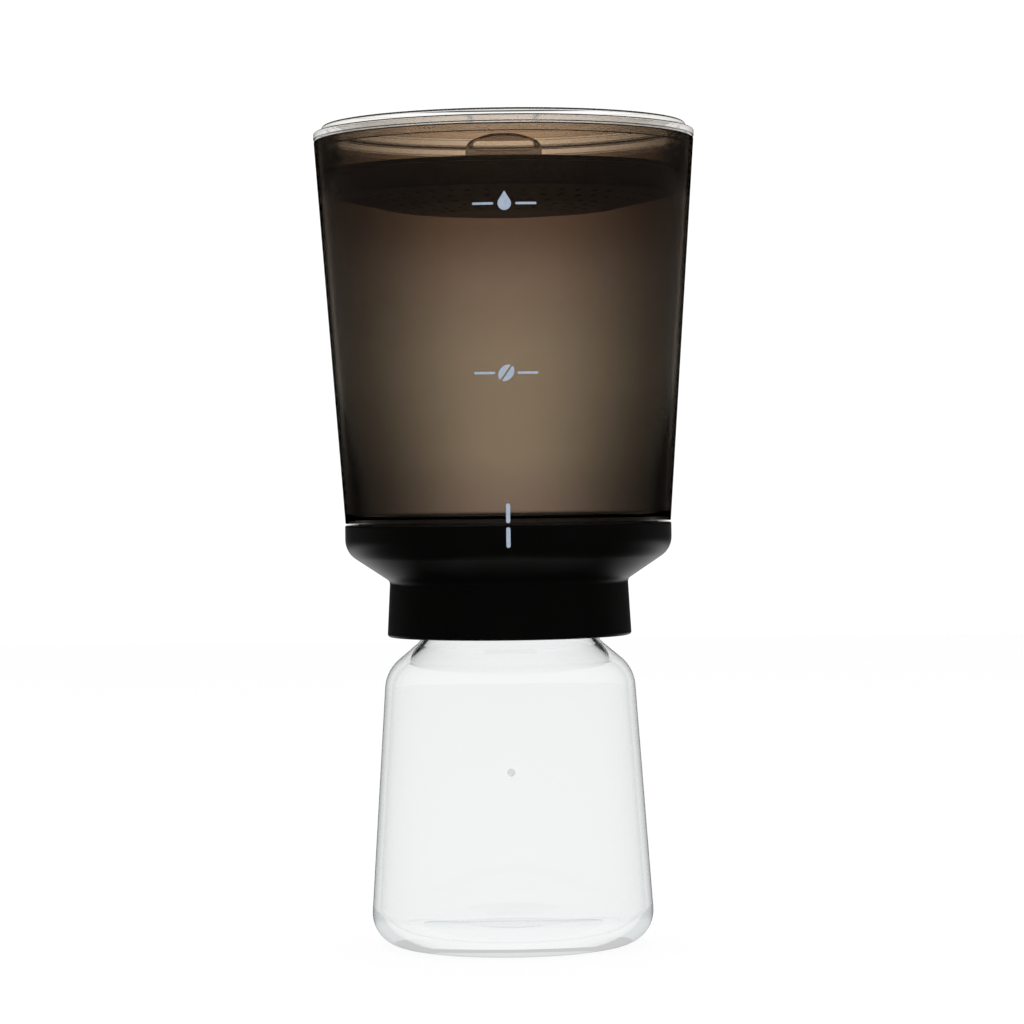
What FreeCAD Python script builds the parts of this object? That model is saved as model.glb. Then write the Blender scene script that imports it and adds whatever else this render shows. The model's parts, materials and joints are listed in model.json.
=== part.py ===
import FreeCAD, Part
import math
import os

from FreeCAD import Vector

# Cold brew coffee maker. Millimetres, +Z up, origin at the centre of the carafe's foot.

# Carafe: glass, drawn outline from the foot to the mouth
CARAFE_FOOT_RADIUS = 51.3
CARAFE_FOOT_ROUND = 11.7
CARAFE_TAPER = 6.7
MOUTH_Z = 125.0
SHOULDER_DROP = 26.4
SHOULDER_ROUND = 14.0
NECK_RADIUS = 31.5
NECK_DROP = 15.4
NECK_ROUND = 5.0
LIP_REACH = 1.7
LIP_HEIGHT = 3.2
LIP_ROUND = 0.6
LIP_FILLET = 0.8
GLASS_WALL = 2.5
GLASS_FLOOR = 4.2
PUSH_UP = 1.5
PUSH_UP_REACH = 16.0
PUSH_UP_ROUND = 30.0
PUSH_UP_FILLET = 60.0
FOOT_RING_INSET = 18.3
DOT_Z = 65.2
DOT_RADIUS = 1.4

# Base: outer collar
BASE_RADIUS = 58.7
BASE_RISE = 26.0
BAND_HEIGHT = 9.6
CONE_TOP_ROUND = 8.3
CONE_HEIGHT = 10.6
CONE_FOOT_REACH = 11.3
CONE_FOOT_ROUND = 2.0
SKIRT_FLARE = 1.1
SKIRT_DROP = 14.2
SKIRT_ROUND = 1.0
SHELL_WALL = 2.4
BASE_MARK_LENGTH = 7.1
BASE_MARK_DROP = 0.5

# Drain funnel inside the collar
FUNNEL_GAP = 0.3
FUNNEL_WALL = 2.0
FUNNEL_FLOOR_ROUND = 3.0
SHELF_DROP = 5.9
SHELF_WIDTH = 8.5
PORT_RADIUS = 8.0
PORT_WALL = 2.0
PORT_LENGTH = 8.3
GUIDE_HEIGHT = 3.0
GUIDE_WALL = 1.7
GUIDE_GAP = 0.08
SPOKES = 3
SPOKE_WIDTH = 1.8
SEAT_HEIGHT = 2.2
SEAT_WIDTH = 4.6
SEAT_ROUND = 0.3
RIB_WIDTH = 1.8
RIB_HEIGHT = 3.8

# Valve: cage on the carafe's mouth, stem, plug and spring
VALVE_LIFT = 5.0
CAGE_RING_WIDTH = 2.9
CAGE_RING_REACH = 1.885
CAGE_RING_HEIGHT = 1.8
CAGE_LEG = 1.8
CAGE_ARM_WIDTH = 5.0
CAGE_DEPTH = 11.4
CAGE_FLOOR = 2.0
STEM_RADIUS = 2.5
STEM_TIP_RADIUS = 1.9
STEM_COLLAR = 1.7
STEM_COLLAR_HEIGHT = 1.5
STEM_HEAD_HEIGHT = 1.5
STEM_BARB = 1.2
PLUG_OVERLAP = 2.5
PLUG_HEIGHT = 4.0
PLUG_LIP_WIDTH = 0.5
PLUG_LIP_HEIGHT = 1.2
PLUG_STEP_WIDTH = 3.0
PLUG_STEP_HEIGHT = 2.2
PLUG_ROUND = 0.3
SPRING_WIRE = 1.0
SPRING_COIL_RADIUS = 12.2
SPRING_TURNS = 4.5
SPRING_SEAT_WIDTH = 3.4

# Container: tapered, tinted
SEAM = 0.6
CONTAINER_STEP = 0.2
CONTAINER_FLARE = 9.8
CONTAINER_HEIGHT = 137.4
CONTAINER_WALL = 2.4
CONTAINER_RIM_ROUND = 0.7
CONTAINER_LEDGE = 2.4
CONTAINER_LEDGE_FILLET = 1.5
SPIGOT_GAP = 0.25
SPIGOT_WALL = 2.2
SPIGOT_LENGTH = 4.6
LUGS = 3
LUG_DEPTH = 1.3
LUG_HEIGHT = 1.6
LUG_DROP = 2.0
LUG_ANGLE = 12.0
TWIST = 30.0
GROOVE_GAP = 0.2
GROOVE_GAP_ANGLE = 1.5
RING_WALL = 2.2
RING_CHAMFER = 0.5
SEAL_GAP = 0.1

# Filter: frame, mesh, clamp and silicone ring
FILTER_GAP = 0.3
FILTER_SEAL_WALL = 1.5
FILTER_SEAL_HEIGHT = 9.2
FILTER_RIM = 3.8
FILTER_CLAMP_HEIGHT = 2.0
FILTER_MESH_HEIGHT = 0.4
FILTER_FRAME_HEIGHT = 4.0
FILTER_RIBS = 6
FILTER_RIB_WIDTH = 2.2
FILTER_RIB_HEIGHT = 2.0
FILTER_HUB_RADIUS = 6.0
FILTER_TAB_WIDTH = 9.0
FILTER_TAB_HEIGHT = 5.0

# Rainmaker: perforated dish with its loop handle
DISH_DROP = 11.0
DISH_FLANGE = 1.7
DISH_FLANGE_WIDTH = 2.0
DISH_WALL = 1.8
DISH_SIDE = 9.3
DISH_TAPER = 1.7
DISH_SAG = 6.4
DISH_ROUND = 2.0
BELLY_RADIUS = 40.0
BELLY_SAG = 4.7
BELLY_ROUND = 60.0
BOSS_RADIUS = 19.3
BOSS_HEIGHT = 3.0
HOLE_RADIUS = 1.15
HOLE_PITCH = 6.5
HOLE_RINGS = 6
HOLE_FIRST_RADIUS = 24.0
HOLE_RING_STEP = 6.0
HOLE_TURN = 7.0
HANDLE_WIDTH = 27.4
HANDLE_DEPTH = 8.0
HANDLE_SIDE_BAR = 2.85
HANDLE_TOP_BAR = 2.1
HANDLE_FLAT = 11.0
HANDLE_ARCH = 3.4
HANDLE_ARCH_ROUND = 20.0
HANDLE_SIDE_ROUND = 4.2
HANDLE_EDGE_ROUND = 0.6
HANDLE_TOP_GAP = 1.0
HANDLE_SLOT = 4.0
HANDLE_SLOT_ROUND = 1.8
HANDLE_WEB = 2.5
HANDLE_GAP_ROUND = 3.0

# Lid: clear, stepped
LID_FLANGE = 2.5
LID_RISE = 2.5
LID_REACH = 0.1
LID_STEP = 2.8
LID_TOP_ROUND = 1.0
LID_WALL = 2.0
LID_SKIRT_DEPTH = 3.0
LID_SKIRT_GAP = 0.4
LID_SKIRT_TAPER = 0.4
LID_SKIRT_WALL = 1.8

# Fits and marks
TOUCH = 0.05
EDGE_ROUND = 0.5
RIM_ROUND = 0.6
SOFT_ROUND = 0.8
THIN_ROUND = 0.4
OVERCUT = 1.0
INK = 0.12
INK_REACH = 117.4
MARK_WIDTH = 1.45
CONTAINER_MARK_LENGTH = 6.8
CONTAINER_MARK_RISE = 0.3
BEAN_RISE = 51.9
BEAN_LENGTH = 6.34
BEAN_WIDTH = 4.76
BEAN_TILT = 43.0
BEAN_SPLIT = 0.7
BEAN_SPLIT_TURN = 8.0
DROP_DEPTH = 27.7
DROP_RADIUS = 2.3
DROP_HEIGHT = 6.6
DASH_START = 3.8
DASH_LENGTH = 7.2
DASH_WIDTH = 0.8

# Heights and radii that follow from the sizes above
SHOULDER_RADIUS = CARAFE_FOOT_RADIUS - CARAFE_TAPER
SHOULDER_Z = MOUTH_Z - SHOULDER_DROP
NECK_Z = MOUTH_Z - NECK_DROP
LIP_RADIUS = NECK_RADIUS + LIP_REACH
FOOT_RING_RADIUS = CARAFE_FOOT_RADIUS - FOOT_RING_INSET
BASE_TOP_Z = MOUTH_Z + BASE_RISE
CONE_TOP_Z = BASE_TOP_Z - BAND_HEIGHT
CONE_FOOT_Z = CONE_TOP_Z - CONE_HEIGHT
CONE_FOOT_RADIUS = NECK_RADIUS + CONE_FOOT_REACH
SKIRT_RADIUS = CONE_FOOT_RADIUS + SKIRT_FLARE
SKIRT_Z = MOUTH_Z - SKIRT_DROP
SHELF_Z = BASE_TOP_Z - SHELF_DROP
FUNNEL_FLOOR_Z = MOUTH_Z + TOUCH + SEAT_HEIGHT + TOUCH
FUNNEL_TOP_Z = FUNNEL_FLOOR_Z + FUNNEL_WALL
PLUG_Z = FUNNEL_TOP_Z + VALVE_LIFT + TOUCH
CAGE_Z = MOUTH_Z + TOUCH - CAGE_DEPTH
RING_RADIUS = BASE_RADIUS - SHELL_WALL - TOUCH
SPIGOT_RADIUS = RING_RADIUS - RING_WALL - SPIGOT_GAP
SPIGOT_BORE = SPIGOT_RADIUS - SPIGOT_WALL
CONTAINER_Z = BASE_TOP_Z + SEAM
CONTAINER_FOOT_RADIUS = BASE_RADIUS - CONTAINER_STEP
CONTAINER_RIM_RADIUS = CONTAINER_FOOT_RADIUS + CONTAINER_FLARE
CONTAINER_RIM_Z = CONTAINER_Z + CONTAINER_HEIGHT
SPIGOT_Z = CONTAINER_Z - SPIGOT_LENGTH
LUG_Z = CONTAINER_Z - LUG_DROP - LUG_HEIGHT
FILTER_RADIUS = SPIGOT_BORE - FILTER_GAP
FILTER_FRAME_RADIUS = FILTER_RADIUS - FILTER_SEAL_WALL - TOUCH
MESH_Z = SHELF_Z + TOUCH + FILTER_CLAMP_HEIGHT + TOUCH
FRAME_Z = MESH_Z + FILTER_MESH_HEIGHT + TOUCH
LID_Z = CONTAINER_RIM_Z + FUNNEL_GAP
LID_TOP_Z = LID_Z + LID_FLANGE + LID_RISE
LID_TOP_RADIUS = CONTAINER_RIM_RADIUS - LID_STEP
HANDLE_TOP_Z = LID_TOP_Z - LID_WALL - HANDLE_TOP_GAP
DISH_TOP_Z = CONTAINER_RIM_Z - DISH_DROP
DISH_FLANGE_Z = DISH_TOP_Z - DISH_FLANGE
DISH_FLOOR_Z = DISH_TOP_Z - DISH_SIDE
BELLY_Z = DISH_FLOOR_Z - BELLY_SAG
BOSS_Z = DISH_FLOOR_Z - DISH_SAG
BEAN_Z = CONTAINER_Z + BEAN_RISE
DROP_Z = CONTAINER_RIM_Z - DROP_DEPTH


def container_radius(z):
    """Outer radius of the container's wall at height z."""
    share = (z - CONTAINER_Z) / (CONTAINER_RIM_Z - CONTAINER_Z)
    return CONTAINER_FOOT_RADIUS + share * (CONTAINER_RIM_RADIUS - CONTAINER_FOOT_RADIUS)


def dish_flange_radius(z):
    """Outer radius of the dish's flange at height z, which fits the container's taper."""
    return container_radius(z) - CONTAINER_WALL - TOUCH


DISH_RADIUS = dish_flange_radius(DISH_FLANGE_Z) - DISH_FLANGE_WIDTH


# Outlines: points of (radius, height, corner round)

def crossing(p, u, q, v):
    """Point where the line from p along u meets the line from q along v."""
    share = ((q[0] - p[0]) * v[1] - (q[1] - p[1]) * v[0]) / (u[0] * v[1] - u[1] * v[0])
    return (p[0] + share * u[0], p[1] + share * u[1])


def inset(points, wall):
    """Outline moved by wall to its left, with its corner rounds kept concentric."""
    steps = []
    for p, q in zip(points, points[1:]):
        length = math.hypot(q[0] - p[0], q[1] - p[1])
        steps.append(((q[0] - p[0]) / length, (q[1] - p[1]) / length))
    moved = [(p[0] - u[1] * wall, p[1] + u[0] * wall) for p, u in zip(points, steps)]
    out = [(moved[0][0], moved[0][1], points[0][2])]
    for i in range(1, len(points) - 1):
        u, v = steps[i - 1], steps[i]
        r, z = crossing(moved[i - 1], u, moved[i], v)
        turn = u[0] * v[1] - u[1] * v[0]
        out.append((r, z, max(points[i][2] + (-wall if turn > 0 else wall), 0)))
    last = points[-1]
    out.append((last[0] - steps[-1][1] * wall, last[1] + steps[-1][0] * wall, last[2]))
    return out


def cut_at(p, q, z, corner=0.0):
    """Point at height z on the line from p to q."""
    share = (z - p[1]) / (q[1] - p[1])
    return (p[0] + share * (q[0] - p[0]), z, corner)


def closed_wire(points):
    """Closed wire through the points in the XZ plane, each corner rounded by its own radius."""
    edges = []
    ends = []
    for i, (r, z, corner) in enumerate(points):
        here = Vector(r, 0, z)
        if corner <= 0:
            ends.append((here, here))
            continue
        last_r, last_z, _ = points[i - 1]
        next_r, next_z, _ = points[(i + 1) % len(points)]
        before = Vector(last_r, 0, last_z) - here
        after = Vector(next_r, 0, next_z) - here
        before.normalize()
        after.normalize()
        half = before.getAngle(after) / 2
        reach = corner / math.tan(half)
        start, stop = here + before * reach, here + after * reach
        middle = before + after
        middle.normalize()
        tip = here + middle * (corner / math.sin(half) - corner)
        edges.append(Part.Arc(start, tip, stop).toShape())
        ends.append((start, stop))
    for i in range(len(points)):
        start, stop = ends[i][1], ends[(i + 1) % len(points)][0]
        if start.distanceToPoint(stop) > 1e-6:
            edges.append(Part.LineSegment(start, stop).toShape())
    return Part.Wire(Part.__sortEdges__(edges))


def turned(points):
    """Solid of revolution of a closed outline about the Z axis."""
    face = Part.Face(closed_wire(points))
    return face.revolve(Vector(0, 0, 0), Vector(0, 0, 1), 360)


def ring(inner, outer, low, high, corner=0.0):
    """Ring of square section with its corners rounded."""
    return turned([(inner, low, corner), (outer, low, corner), (outer, high, corner), (inner, high, corner)])


def sector(inner, outer, low, high, start, stop):
    """Part of a ring between two angles in degrees, counted from -Y, the front."""
    face = Part.Face(closed_wire([(inner, low, 0), (outer, low, 0), (outer, high, 0), (inner, high, 0)]))
    face.rotate(Vector(0, 0, 0), Vector(0, 0, 1), start - 90)
    return face.revolve(Vector(0, 0, 0), Vector(0, 0, 1), stop - start)


def block(x, y, z, width, depth, height):
    """Box centred on x and y, standing on z."""
    return Part.makeBox(width, depth, height, Vector(x - width / 2, y - depth / 2, z))


def spun(shape, count, start=0.0):
    """Copies of a shape, spread evenly about the Z axis."""
    copies = []
    for i in range(count):
        copy = shape.copy()
        copy.rotate(Vector(0, 0, 0), Vector(0, 0, 1), start + i * 360 / count)
        copies.append(copy)
    return copies


# Carafe

def carafe_side():
    """Outer outline of the carafe's side, from the foot up."""
    return [(CARAFE_FOOT_RADIUS, 0, CARAFE_FOOT_ROUND), (SHOULDER_RADIUS, SHOULDER_Z, SHOULDER_ROUND),
            (NECK_RADIUS, NECK_Z, NECK_ROUND), (NECK_RADIUS, MOUTH_Z, 0)]


def carafe():
    inner = inset(carafe_side(), GLASS_WALL)
    rise = GLASS_FLOOR + PUSH_UP / 2
    flat = FOOT_RING_RADIUS - PUSH_UP_REACH
    outline = [(0, PUSH_UP, 0), (flat, PUSH_UP, PUSH_UP_ROUND), (FOOT_RING_RADIUS, 0, RIM_ROUND)]
    outline += carafe_side()[:3]
    outline += [(NECK_RADIUS, MOUTH_Z - LIP_HEIGHT, LIP_FILLET),
                (LIP_RADIUS, MOUTH_Z - LIP_HEIGHT + LIP_REACH, LIP_FILLET),
                (LIP_RADIUS, MOUTH_Z, LIP_ROUND), (inner[3][0], MOUTH_Z, LIP_ROUND)]
    outline += [inner[2], inner[1]]
    outline.append(cut_at(inner[0], inner[1], GLASS_FLOOR, CARAFE_FOOT_ROUND - GLASS_WALL))
    outline += [(FOOT_RING_RADIUS, GLASS_FLOOR, PUSH_UP_FILLET), (flat, rise, PUSH_UP_FILLET), (0, rise, 0)]
    return turned(outline)


def ink(outline, faces):
    """Print on the front of a turned outline: flat faces in XZ, pressed onto a thin skin."""
    skin = turned(list(outline) + list(reversed(inset(outline, -INK))))
    prints = [skin.common(face.extrude(Vector(0, -INK_REACH, 0))) for face in faces]
    solids = [solid for shape in prints for solid in shape.Solids]
    return Part.makeCompound(solids)


def disc_face(x, z, radius):
    return Part.Face(Part.Wire(Part.Circle(Vector(x, 0, z), Vector(0, 1, 0), radius).toShape()))


def bar_face(x, z, width, height):
    """Bar with round ends, its lower left corner at x and z."""
    end = min(width, height) * 0.499
    corners = [(x, z), (x + width, z), (x + width, z + height), (x, z + height)]
    return Part.Face(closed_wire([(a, b, end) for a, b in corners]))


def carafe_print():
    side = [(r, z, 0) for r, z, corner in carafe_side()[:2]]
    return ink(side, [disc_face(0, DOT_Z, DOT_RADIUS)])


# Base

def shell_side():
    """Outer outline of the collar, from the skirt's edge up."""
    return [(SKIRT_RADIUS, SKIRT_Z, 0), (CONE_FOOT_RADIUS, CONE_FOOT_Z, CONE_FOOT_ROUND),
            (BASE_RADIUS, CONE_TOP_Z, CONE_TOP_ROUND), (BASE_RADIUS, BASE_TOP_Z, 0)]


def base_shell():
    outer = shell_side()
    inner = inset(outer, SHELL_WALL)
    outline = [(SKIRT_RADIUS, SKIRT_Z, SKIRT_ROUND)] + outer[1:3] + [(BASE_RADIUS, BASE_TOP_Z, RIM_ROUND)]
    outline.append((BASE_RADIUS - SHELL_WALL, BASE_TOP_Z, RIM_ROUND))
    outline += [inner[2], inner[1]]
    outline.append(cut_at(inner[0], inner[1], SKIRT_Z, SKIRT_ROUND))
    return turned(outline)


def base_mark():
    top = BASE_TOP_Z - BASE_MARK_DROP
    return ink(shell_side(), [bar_face(-MARK_WIDTH / 2, top - BASE_MARK_LENGTH, MARK_WIDTH, BASE_MARK_LENGTH)])


def drain_funnel():
    outer = inset(shell_side(), SHELL_WALL + FUNNEL_GAP)
    inner = inset(shell_side(), SHELL_WALL + FUNNEL_GAP + FUNNEL_WALL)
    low = cut_at(outer[0], outer[1], FUNNEL_FLOOR_Z, RIM_ROUND)
    outline = [(PORT_RADIUS, FUNNEL_FLOOR_Z, 0), low, outer[1], outer[2], (outer[2][0], SHELF_Z, THIN_ROUND)]
    outline += [(inner[2][0], SHELF_Z, 0), inner[2]]
    outline += [(inner[1][0], inner[1][1], 0), (inner[1][0] - FUNNEL_WALL, FUNNEL_TOP_Z, FUNNEL_FLOOR_ROUND)]
    outline += [(PORT_RADIUS, FUNNEL_TOP_Z, EDGE_ROUND)]
    pan = turned(outline)
    shelf = ring(outer[2][0] - SHELF_WIDTH, inner[2][0] + FUNNEL_WALL / 2, SHELF_Z - FUNNEL_WALL, SHELF_Z)
    port_low = FUNNEL_FLOOR_Z - PORT_LENGTH
    port = ring(PORT_RADIUS, PORT_RADIUS + PORT_WALL, port_low, FUNNEL_FLOOR_Z + FUNNEL_WALL / 2)
    bore = STEM_RADIUS + GUIDE_GAP
    guide = ring(bore, bore + GUIDE_WALL, port_low, port_low + GUIDE_HEIGHT)
    spoke_length = PORT_RADIUS + PORT_WALL / 2 - bore - GUIDE_WALL / 2
    spoke = block(bore + GUIDE_WALL / 2 + spoke_length / 2, 0, port_low, spoke_length, SPOKE_WIDTH, GUIDE_HEIGHT)
    rib_radius = seat_inner_radius() + SEAT_WIDTH + TOUCH
    rib = ring(rib_radius, rib_radius + RIB_WIDTH, FUNNEL_FLOOR_Z - RIB_HEIGHT, FUNNEL_FLOOR_Z + FUNNEL_WALL / 2)
    return pan.multiFuse([shelf, port, guide, rib] + spun(spoke, SPOKES)).removeSplitter()


def bayonet_ring():
    inner = RING_RADIUS - RING_WALL
    low, high = SHELF_Z + TOUCH, BASE_TOP_Z - SEAM
    body = turned([(inner, low, 0), (RING_RADIUS - RING_CHAMFER, low, 0), (RING_RADIUS, low + RING_CHAMFER, 0),
                   (RING_RADIUS, high, THIN_ROUND), (inner, high, THIN_ROUND)])
    depth = inner + LUG_DEPTH
    half = LUG_ANGLE / 2 + GROOVE_GAP_ANGLE
    low_cut = inner - OVERCUT
    run = sector(low_cut, depth, LUG_Z - GROOVE_GAP, LUG_Z + LUG_HEIGHT + GROOVE_GAP, -half, TWIST + half)
    entry = sector(low_cut, depth, LUG_Z - GROOVE_GAP, high + OVERCUT, TWIST - half, TWIST + half)
    groove = run.fuse(entry)
    return body.cut(Part.makeCompound(spun(groove, LUGS)))


def seat_inner_radius():
    """Inner radius of the silicone seat, on the outer part of the carafe's mouth."""
    return cage_outer_radius() + FUNNEL_GAP


def cage_outer_radius():
    """Outer radius of the cage's ring, on the inner part of the carafe's mouth."""
    return NECK_RADIUS - GLASS_WALL + CAGE_RING_REACH


def carafe_seat():
    inner = seat_inner_radius()
    return ring(inner, inner + SEAT_WIDTH, MOUTH_Z + TOUCH, MOUTH_Z + TOUCH + SEAT_HEIGHT, SEAT_ROUND)


# Valve

def valve_actuator():
    outer = cage_outer_radius()
    low = MOUTH_Z + TOUCH
    top_ring = ring(outer - CAGE_RING_WIDTH, outer, low, low + CAGE_RING_HEIGHT)
    leg_outer = NECK_RADIUS - GLASS_WALL - 2 * FUNNEL_GAP
    leg = block(leg_outer - CAGE_LEG / 2, 0, CAGE_Z, CAGE_LEG, CAGE_ARM_WIDTH, CAGE_DEPTH + CAGE_RING_HEIGHT)
    arm = block(leg_outer / 2, 0, CAGE_Z, leg_outer, CAGE_ARM_WIDTH, CAGE_FLOOR)
    seat = ring(SPRING_COIL_RADIUS - SPRING_SEAT_WIDTH / 2, SPRING_COIL_RADIUS + SPRING_SEAT_WIDTH / 2,
                CAGE_Z, CAGE_Z + CAGE_FLOOR)
    collar = STEM_RADIUS + STEM_COLLAR
    tip_z = PLUG_Z + PLUG_HEIGHT
    stem = turned([(0, CAGE_Z, 0), (STEM_RADIUS, CAGE_Z, 0), (STEM_RADIUS, PLUG_Z - STEM_COLLAR_HEIGHT, 0),
                   (collar, PLUG_Z - STEM_COLLAR_HEIGHT, 0), (collar, PLUG_Z, 0), (STEM_TIP_RADIUS, PLUG_Z, 0),
                   (STEM_TIP_RADIUS, tip_z, 0), (STEM_TIP_RADIUS + STEM_BARB, tip_z, 0),
                   (STEM_TIP_RADIUS, tip_z + STEM_HEAD_HEIGHT, 0), (0, tip_z + STEM_HEAD_HEIGHT, 0)])
    between = 180 / SPOKES
    limbs = spun(leg, SPOKES, between) + spun(arm, SPOKES, between)
    return top_ring.multiFuse([seat, stem] + limbs).removeSplitter()


def valve_plug():
    outer = PORT_RADIUS + PLUG_OVERLAP
    bore = STEM_TIP_RADIUS + TOUCH
    return turned([(bore, PLUG_Z, 0), (outer - PLUG_LIP_WIDTH, PLUG_Z, PLUG_ROUND),
                   (outer, PLUG_Z + PLUG_LIP_HEIGHT, PLUG_ROUND),
                   (outer - PLUG_STEP_WIDTH, PLUG_Z + PLUG_STEP_HEIGHT, SOFT_ROUND),
                   (bore + PLUG_STEP_WIDTH, PLUG_Z + PLUG_HEIGHT, SOFT_ROUND), (bore, PLUG_Z + PLUG_HEIGHT, 0)])


def spring_point(angle, low, pitch):
    """Point of the spring's centre line at an angle in radians from its lower end."""
    return Vector(SPRING_COIL_RADIUS * math.cos(angle), SPRING_COIL_RADIUS * math.sin(angle),
                  low + pitch * angle / (2 * math.pi))


def spring_direction(angle, pitch):
    rise = pitch / (2 * math.pi)
    way = Vector(-SPRING_COIL_RADIUS * math.sin(angle), SPRING_COIL_RADIUS * math.cos(angle), rise)
    return way.normalize()


def arc_between(start, way, stop):
    """Arc from start, leaving along way, to stop."""
    chord = stop - start
    reach = chord.Length / 2
    chord.normalize()
    cosine = max(-1.0, min(1.0, way.dot(chord)))
    side = (way - chord * cosine).normalize()
    middle = (start + stop) * 0.5 + side * (reach * math.tan(math.acos(cosine) / 2))
    return Part.Arc(start, middle, stop).toShape()


def biarc(p, u, q, v):
    """Two tangent arcs from p, leaving along u, to q, arriving along v."""
    gap = q - p
    a = 2 * (1 - u.dot(v))
    b = gap.dot(u + v)
    reach = (-b + math.sqrt(b * b + a * gap.dot(gap))) / a
    first, second = p + u * reach, q - v * reach
    joint = (first + second) * 0.5
    return [arc_between(p, u, joint), arc_between(joint, (second - first).normalize(), q)]


def spring_line():
    """Centre line of the spring between the cage's seat and the funnel's floor, and its pitch."""
    low = CAGE_Z + CAGE_FLOOR + TOUCH + SPRING_WIRE / 2
    high = FUNNEL_FLOOR_Z - TOUCH - SPRING_WIRE / 2
    return low, (high - low) / SPRING_TURNS


def valve_spring():
    low, pitch = spring_line()
    quarters = int(round(SPRING_TURNS * 4))
    edges = []
    for i in range(quarters):
        start, stop = i * math.pi / 2, (i + 1) * math.pi / 2
        edges += biarc(spring_point(start, low, pitch), spring_direction(start, pitch),
                       spring_point(stop, low, pitch), spring_direction(stop, pitch))
    path = Part.Wire(edges)
    circle = Part.Circle(spring_point(0, low, pitch), spring_direction(0, pitch), SPRING_WIRE / 2)
    return path.makePipeShell([Part.Wire(circle.toShape())], True, False)


def spring_gap():
    """Least gap between the spring's turns, measured on points of its centre line."""
    low, pitch = spring_line()
    steps = 72
    count = int(SPRING_TURNS * steps)
    points = [spring_point(i * 2 * math.pi / steps, low, pitch) for i in range(count + 1)]
    least = min(points[i].distanceToPoint(points[j]) for i in range(count + 1)
                for j in range(i + steps // 2, count + 1))
    return least - SPRING_WIRE


# Filter

def filter_seal():
    low = SHELF_Z + TOUCH
    return ring(FILTER_RADIUS - FILTER_SEAL_WALL, FILTER_RADIUS, low, low + FILTER_SEAL_HEIGHT, THIN_ROUND)


def filter_clamp():
    low = SHELF_Z + TOUCH
    bore = FILTER_FRAME_RADIUS - FILTER_RIM
    rim = ring(bore, FILTER_FRAME_RADIUS, low, low + FILTER_CLAMP_HEIGHT)
    bar = block(0, 0, low, 2 * bore + FILTER_RIM, FILTER_RIB_WIDTH, FILTER_CLAMP_HEIGHT)
    cross = block(0, 0, low, FILTER_RIB_WIDTH, 2 * bore + FILTER_RIM, FILTER_CLAMP_HEIGHT)
    return rim.multiFuse([bar, cross]).removeSplitter()


def filter_mesh():
    return Part.makeCylinder(FILTER_FRAME_RADIUS, FILTER_MESH_HEIGHT, Vector(0, 0, MESH_Z))


def filter_frame():
    bore = FILTER_FRAME_RADIUS - FILTER_RIM
    rim = ring(bore, FILTER_FRAME_RADIUS, FRAME_Z, FRAME_Z + FILTER_FRAME_HEIGHT)
    rib_length = bore + FILTER_RIM / 2
    rib = block(rib_length / 2, 0, FRAME_Z, rib_length, FILTER_RIB_WIDTH, FILTER_RIB_HEIGHT)
    hub = Part.makeCylinder(FILTER_HUB_RADIUS, FILTER_RIB_HEIGHT, Vector(0, 0, FRAME_Z))
    tab = block(0, 0, FRAME_Z, FILTER_TAB_WIDTH, FILTER_RIB_WIDTH, FILTER_RIB_HEIGHT + FILTER_TAB_HEIGHT)
    return rim.multiFuse([hub, tab] + spun(rib, FILTER_RIBS)).removeSplitter()


# Container

def container_side():
    """Outer outline of the container, from the seam up."""
    return [(CONTAINER_FOOT_RADIUS, CONTAINER_Z, 0), (CONTAINER_RIM_RADIUS, CONTAINER_RIM_Z, 0)]


def container():
    ledge_top = CONTAINER_Z + CONTAINER_LEDGE
    outline = [(SPIGOT_BORE, SPIGOT_Z, THIN_ROUND), (SPIGOT_RADIUS, SPIGOT_Z, THIN_ROUND),
               (SPIGOT_RADIUS, CONTAINER_Z, 0), (CONTAINER_FOOT_RADIUS, CONTAINER_Z, EDGE_ROUND),
               (CONTAINER_RIM_RADIUS, CONTAINER_RIM_Z, CONTAINER_RIM_ROUND),
               (CONTAINER_RIM_RADIUS - CONTAINER_WALL, CONTAINER_RIM_Z, CONTAINER_RIM_ROUND),
               (container_radius(ledge_top) - CONTAINER_WALL, ledge_top, CONTAINER_LEDGE_FILLET),
               (SPIGOT_BORE, ledge_top, SOFT_ROUND)]
    body = turned(outline)
    lug = sector(SPIGOT_RADIUS - EDGE_ROUND, RING_RADIUS - RING_WALL + LUG_DEPTH - GROOVE_GAP, LUG_Z,
                 LUG_Z + LUG_HEIGHT, -LUG_ANGLE / 2, LUG_ANGLE / 2)
    return body.multiFuse(spun(lug, LUGS)).removeSplitter()


def container_seal():
    low = SHELF_Z + TOUCH
    return ring(SPIGOT_BORE + SEAL_GAP, SPIGOT_RADIUS - SEAL_GAP, low, SPIGOT_Z, SEAT_ROUND)


def bean_faces():
    """Coffee bean seen from the front: a leaning ellipse in two halves, with a slit between them."""
    ellipse = Part.Ellipse(Vector(0, 0, 0), BEAN_LENGTH / 2, BEAN_WIDTH / 2).toShape()
    bean = Part.Face(Part.Wire(ellipse))
    low, high = -BEAN_SPLIT / 2, BEAN_SPLIT / 2
    corners = [Vector(-BEAN_LENGTH, low, 0), Vector(BEAN_LENGTH, low, 0), Vector(BEAN_LENGTH, high, 0),
               Vector(-BEAN_LENGTH, high, 0)]
    slit = Part.Face(Part.makePolygon(corners + corners[:1]))
    slit.rotate(Vector(0, 0, 0), Vector(0, 0, 1), BEAN_SPLIT_TURN)
    halves = bean.cut(slit)
    halves.rotate(Vector(0, 0, 0), Vector(0, 0, 1), 90 - BEAN_TILT)
    halves.rotate(Vector(0, 0, 0), Vector(1, 0, 0), 90)
    halves.translate(Vector(0, 0, BEAN_Z))
    return halves.Faces


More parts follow.
